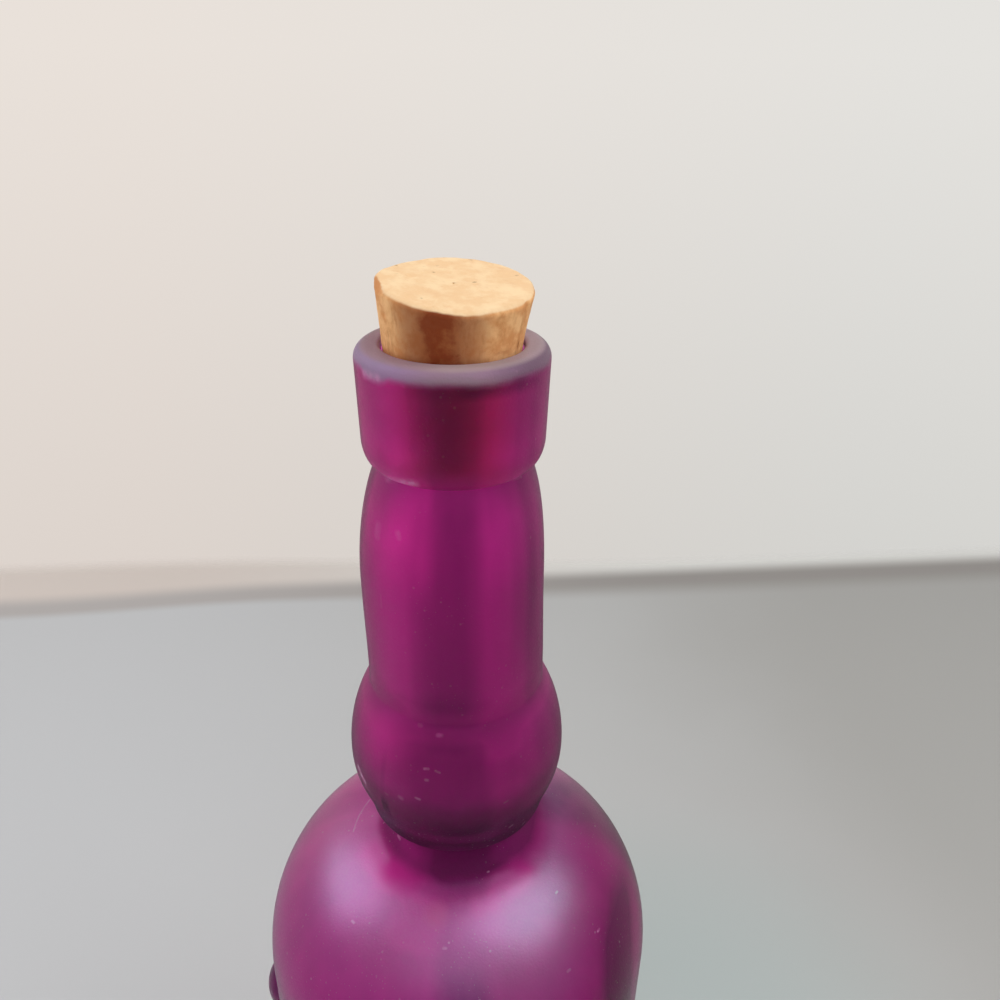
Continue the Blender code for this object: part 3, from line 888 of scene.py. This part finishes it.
def painted_shade_and_pooled_stain(g, height, uneven):
    """Share of the near-black painted shade, with some pooled stain, under the knop and round the dome's
    top, most at the front.
    """
    z = levels()
    on_dome = g.product(g.towards(-83.0, 46.0, 14.0, 1.0, 0.05),
                        g.span(uneven, z["shoulder_top"] - 0.0011, z["shoulder_top"] + 0.0008))
    on_waist = g.span(height, z["waist"], z["waist"] + 0.003)
    under_knop = g.span(height, z["knop"] - 0.0011, z["waist"] + 0.0100)
    return g.product(g.maths("MAXIMUM", on_dome, on_waist), under_knop)


def dome_ring(g, uneven):
    """Uneven height, less the places where the ring round the dome's top reaches higher."""
    shift = 0.0
    for bearing, reach, full, amount in DOME_RING_SHIFTS:
        shift = g.maths("ADD", shift, g.towards(bearing, reach, full, amount))
    return g.maths("SUBTRACT", uneven, shift)


def bare_lip(g, height):
    """Share of bare glass: the stain ends below the lip, in a ragged edge with one higher place."""
    lip = levels()["lip"]
    edge = g.maths("ADD", g.ragged(height, 170.0, RAGGED_EDGE), g.towards(-136.0, 13.0, amount=0.0009))
    return g.span(edge, lip - 0.0031, lip - 0.0014)


def round_lip(g, colours, left_span, right_span):
    """Colour that changes round the lip, from the front to the left and to the right."""
    front, left, right = colours
    colour = g.blend(g.span(g.facing(LIP_LEFT_BEARING), *left_span), front, left)
    return g.blend(g.span(g.facing(LIP_RIGHT_BEARING), *right_span), colour, right)


def lip_colour(g, height):
    """Colour of the bare glass, paler on the top of the lip than on its side, with a painted bluish
    highlight on the left of the side and a painted warm reflection of the cork on the top.
    """
    lip = levels()["lip"]
    side = round_lip(g, LIP_SIDE_COLOURS, (0.55, 0.95), (0.35, 0.92))
    top = round_lip(g, LIP_TOP_COLOURS, (0.40, 0.90), (0.40, 0.90))
    return g.blend(g.span(height, lip - 0.0006, lip - 0.00005), side, top)


def gloss_tint(g, height, above):
    """Tint of the gloss: violet on the body, bluer on the dome, dull at the right and above."""
    body_top = levels()["body_top"]
    x = g.part(g.spot(), "X")
    dome = g.blend(g.span(x, -0.002, 0.016), DOME_LEFT_GLOSS, DOME_RIGHT_GLOSS)
    tint = g.blend(g.span(height, body_top + 0.008, body_top + 0.022), BODY_GLOSS, dome)
    tint = g.blend(g.span(x, 0.0180, 0.0320), tint, RIGHT_GLOSS)
    return g.blend(above, tint, UPPER_GLOSS)


def dusty_film(g, height, ring):
    """Share of the thin dusty film on the front of the dome."""
    z = levels()
    round_side = g.maths("MULTIPLY", g.maths("SUBTRACT", g.facing(-85.0), 1.0), 0.003)
    rise = g.maths("ADD", height, round_side)
    return g.product(g.span(rise, z["body_top"] + 0.0180, z["body_top"] + 0.0255),
                     g.span(ring, z["shoulder_top"] - 0.0003, z["shoulder_top"] - 0.0016),
                     g.span(g.facing(-108.0), -0.09, 0.34))


def stained_glass():
    """Satin-etched outer face, stained magenta, with an unstained, worn lip; its colour also paints
    light and shade.
    """
    z = levels()
    g = Graph(bpy.data.materials.new("satin_stained_glass"))
    height = g.part(g.spot(), "Z")
    uneven = g.ragged(height, 130.0, RAGGED_EDGE)
    ring = dome_ring(g, uneven)
    above = g.span(ring, z["shoulder_top"] - 0.0016, z["shoulder_top"] - 0.0001)
    bare = bare_lip(g, height)
    # Stain taken off by specks, dust and marks, with the painted highlights among the marks
    worn = wear_and_painted_highlights(g, height)
    stain = g.blend(stain_and_painted_shading_depth(g, height), THIN_STAIN, DEEP_STAIN)
    stain = g.blend(painted_shade_and_pooled_stain(g, height, uneven), stain, PAINTED_SHADE_AND_POOLED_STAIN)
    colour = g.blend(bare, stain, lip_colour(g, height))
    warmth = g.span(g.vector("DISTANCE", g.spot(), place_on_wall(*WARM_SPOT)), 0.0036, 0.0006, 0.0, 0.45)
    colour = g.blend(warmth, colour, WARM_STAIN)
    g.set(Base_Color=g.blend(worn, colour, WORN_GLASS_AND_HIGHLIGHT), IOR=GLASS_IOR)
    g.set(Specular_Tint=gloss_tint(g, height, above))
    sparkle = g.grain(g.spot(), 2300.0, 2.0)
    waist = g.product(above, g.span(height, z["waist"] + 0.006, z["waist"]))
    rough = g.maths("ADD", g.span(sparkle, 0.3, 0.7, 0.28, 0.40), g.maths("MULTIPLY", above, 0.18))
    g.set(Roughness=g.maths("ADD", rough, g.maths("MULTIPLY", waist, 0.25)))
    grainy = g.span(sparkle, 0.36, 0.64, 0.45, 0.85)
    g.set(Coat_Weight=g.product(dusty_film(g, height, ring), grainy), Coat_Roughness=0.36, Coat_IOR=1.55)
    solid = g.maths("MAXIMUM", g.maths("MULTIPLY", bare, 0.5), g.maths("MULTIPLY", worn, 0.7))
    g.set(Transmission_Weight=g.maths("SUBTRACT", 1.0, solid))
    g.set(Normal=g.bump(sparkle, 0.00007, 0.8))
    return g.owner


def clear_glass():
    """Inner face: clear, slightly wavy moulded glass."""
    g = Graph(bpy.data.materials.new("clear_inner_glass"))
    wave = g.grain(g.stretched((1, 1, 0.5)), 45.0, 2.0)
    g.set(Base_Color=g.blend(g.span(wave, 0.3, 0.7), INNER_PALE, INNER_DARK))
    g.set(Roughness=g.maths("ADD", g.maths("MULTIPLY", wave, 0.06), 0.04))
    g.set(Transmission_Weight=1.0, IOR=GLASS_IOR)
    g.set(Normal=g.bump(wave, 0.0006, 0.5))
    return g.owner


def cork_smear(g, mottle):
    """Share of the dark smear on the front of the cork, deeper along its middle."""
    warp = g.maths("MULTIPLY", g.maths("SUBTRACT", mottle, 0.5), 0.16)
    near = g.maths("ADD", g.facing(CORK_SMEAR_BEARING), warp)
    wide = g.span(near, math.cos(math.radians(43)), math.cos(math.radians(15)), 0.0, 0.64)
    core = g.span(near, math.cos(math.radians(18)), math.cos(math.radians(3)), 0.0, 0.30)
    return g.maths("ADD", wide, core)


def natural_cork():
    """Natural cork: pale cut top, browner handled side with a dark smear, a fresh chip."""
    g = Graph(bpy.data.materials.new("natural_cork"))
    mottle = g.grain(g.spot(), 300.0, 5.0, 0.62)
    brush = g.grain(g.stretched((1, 1, 0.35)), 420.0, 4.0, 0.6)
    fine = g.grain(g.spot(), 1400.0, 3.0, 0.6)
    side = g.blend(g.span(mottle, 0.35, 0.65), CORK_SIDE_BROWN, CORK_SIDE_PALE)
    side = g.blend(g.span(brush, 0.48, 0.70, 0.0, 0.5), side, CORK_SIDE_GRAIN)
    side = g.blend(cork_smear(g, mottle), side, CORK_SMEAR)
    top = g.blend(g.span(mottle, 0.36, 0.66), CORK_TOP_BROWN, CORK_TOP_PALE)
    top = g.blend(g.span(brush, 0.58, 0.74, 0.0, 0.35), top, CORK_TOP_GRAIN)
    normal = g.add("ShaderNodeNewGeometry", {}, "Normal")
    colour = g.blend(g.span(g.part(normal, "Z"), 0.35, 0.75), side, top)
    chip = g.add("ShaderNodeAttribute", {}, "Fac", attribute_name="chipped")
    colour = g.blend(g.maths("MULTIPLY", chip, 0.75), colour, CORK_FRESH)
    pores = g.cells(g.stretched((1, 1, 0.5)), 420.0)
    open_pores = g.product(g.span(pores, 0.22, 0.10), g.span(brush, 0.50, 0.62))
    g.set(Base_Color=g.blend(g.maths("MULTIPLY", open_pores, 0.6), colour, CORK_PORE))
    g.set(Roughness=g.span(fine, 0.3, 0.7, 0.78, 0.92), Specular_IOR_Level=0.2)
    relief = g.maths("SUBTRACT", g.maths("ADD", fine, brush), open_pores)
    g.set(Normal=g.bump(relief, 0.00012, 0.6))
    return g.owner


def table_top():
    """Pale grey table with painted shade, darker towards the right and greenish beside the bottle, a
    soft shadow at its far edge, and a strip beyond that fades out.
    """
    g = Graph(bpy.data.materials.new("pale_table"))
    cloud = g.grain(g.spot(), 3.0, 3.0)
    fine = g.grain(g.spot(), 900.0, 2.0)
    x, y = g.part(g.spot(), "X"), g.part(g.spot(), "Y")
    shade_across = g.maths("ADD", x, g.span(cloud, 0.3, 0.7, -0.03, 0.03))
    colour = g.blend(g.span(shade_across, -0.25, 0.15), TABLE_LEFT, TABLE_MIDDLE)
    colour = g.blend(g.span(shade_across, 0.08, 0.30), colour, TABLE_RIGHT)
    from_shade = g.vector("DISTANCE", g.spot(), GREENISH_SHADE_PLACE)
    colour = g.blend(g.span(from_shade, 0.16, 0.03, 0.0, 0.85), colour, GREENISH_SHADE)
    right = g.span(x, -0.25, 0.25)
    bent = g.maths("ADD", y, g.span(x, -0.12, -0.32, 0.0, 0.010))
    shadow_start = g.span(right, 0.0, 1.0, TABLE_EDGE - 0.016, TABLE_EDGE - 0.030)
    shadow = g.span(bent, shadow_start, TABLE_EDGE - 0.003)
    colour = g.blend(shadow, colour, g.blend(right, SHADOW_LEFT, SHADOW_RIGHT))
    beyond = g.span(bent, TABLE_EDGE + 0.001, TABLE_EDGE + 0.024)
    colour = g.blend(beyond, colour, g.blend(right, BEYOND_LEFT, BEYOND_RIGHT))
    fade_end = g.span(x, -0.25, 0.25, TABLE_EDGE + 0.066, TABLE_EDGE + 0.038)
    g.set(Alpha=g.span(y, fade_end, g.maths("SUBTRACT", fade_end, 0.026)))
    g.set(Base_Color=colour)
    g.set(Roughness=g.span(fine, 0.3, 0.7, 0.50, 0.60))
    return g.owner


def make_table():
    """Table that the decanter stands on. The wall beyond its far edge is the world's."""
    half_width, near, far, thick = 0.90, -0.90, TABLE_EDGE + 0.070, 0.025
    corners = [(-half_width, near), (half_width, near), (half_width, far), (-half_width, far)]
    points = [(x, y, -thick) for x, y in corners] + [(x, y, 0.0) for x, y in corners]
    faces = [(3, 2, 1, 0), (4, 5, 6, 7), (0, 1, 5, 4), (1, 2, 6, 5), (2, 3, 7, 6), (3, 0, 4, 7)]
    mesh = bpy.data.meshes.new("table")
    mesh.from_pydata(points, [], faces)
    table = placed("table", mesh, [table_top()])
    table.rotation_euler = (0, 0, math.radians(TABLE_TURN_DEGREES))
    edge = table.modifiers.new("edge", "BEVEL")
    edge.width = TABLE_EDGE_ROUND
    edge.segments = 3


def make_world():
    """Off-white surroundings, darker low down, and dimmer as a light than as a background."""
    world = bpy.data.worlds.new("surroundings")
    bpy.context.scene.world = world
    g = Graph(world)
    direction = g.add("ShaderNodeTexCoord", {}, "Generated")
    upward = g.part(direction, "Z")
    right = g.span(g.part(direction, "X"), -0.38, 0.38, shape="LINEAR")
    rise = g.span(upward, -0.52, 0.0, shape="LINEAR")
    shown = g.tree.nodes["Background"]
    backdrop = g.blend(rise, g.blend(right, *BACKDROP_LOW), g.blend(right, *BACKDROP_HIGH))
    g.put(shown.inputs["Color"], backdrop)
    strength = g.span(upward, 0.0, 1.0, FILL_LOW, FILL_HIGH, "LINEAR")
    fill = g.add("ShaderNodeBackground", {"Color": (*FILL_COLOUR, 1.0), "Strength": strength})
    seen = 0.0
    for ray in ("Is Camera Ray", "Is Glossy Ray", "Is Transmission Ray"):
        seen = g.maths("MAXIMUM", seen, g.add("ShaderNodeLightPath", {}, ray))
    both = g.add("ShaderNodeMixShader", {0: seen, 1: fill, 2: shown.outputs[0]})
    g.put(g.tree.nodes["World Output"].inputs["Surface"], both)


def make_lamp(name, towards, size, watts):
    """Soft square lamp that faces the neck of the bottle."""
    lamp = bpy.data.lights.new(name, "AREA")
    lamp.shape = "SQUARE"
    lamp.size = size
    lamp.energy = watts
    holder = bpy.data.objects.new(name, lamp)
    bpy.context.scene.collection.objects.link(holder)
    way = Vector(towards).normalized()
    holder.location = Vector((0, 0, LAMP_AIM_HEIGHT)) + way * LAMP_DISTANCE
    holder.rotation_euler = way.to_track_quat("Z", "Y").to_euler()


def make_camera():
    """Camera where the photograph was taken from."""
    data = bpy.data.cameras.new("camera")
    data.lens = CAMERA_LENS
    data.sensor_width = CAMERA_SENSOR
    data.clip_start = 0.01
    camera = bpy.data.objects.new("camera", data)
    bpy.context.scene.collection.objects.link(camera)
    pitch = Matrix.Rotation(math.radians(90 - CAMERA_PITCH_DEGREES), 4, "X")
    roll = Matrix.Rotation(math.radians(CAMERA_ROLL_DEGREES), 4, "Z")
    camera.matrix_world = Matrix.Translation(CAMERA_PLACE) @ pitch @ roll
    bpy.context.scene.camera = camera


def make_bottle():
    """Glass bottle, its outer face stained and its inner face clear."""
    outer, inner = outside(), inside()
    mesh = turned("satin_bottle", outer + inner, len(outer) - 1, bearings())
    bottle = placed("satin_bottle", mesh, [stained_glass(), clear_glass()])
    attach(bottle, "bottle")
    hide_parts("glass_bottle")


def make_cork():
    """Cork in its seat."""
    mesh = cork_mesh("pitted_cork", levels()["cork_foot"])
    cork = placed("pitted_cork", mesh, [natural_cork()])
    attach(cork, "stopper")
    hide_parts("cork_stopper")


make_camera()
make_bottle()
make_cork()
make_table()
make_world()
for lamp_row in LAMPS:
    make_lamp(*lamp_row)
bpy.context.scene.view_settings.view_transform = "Standard"
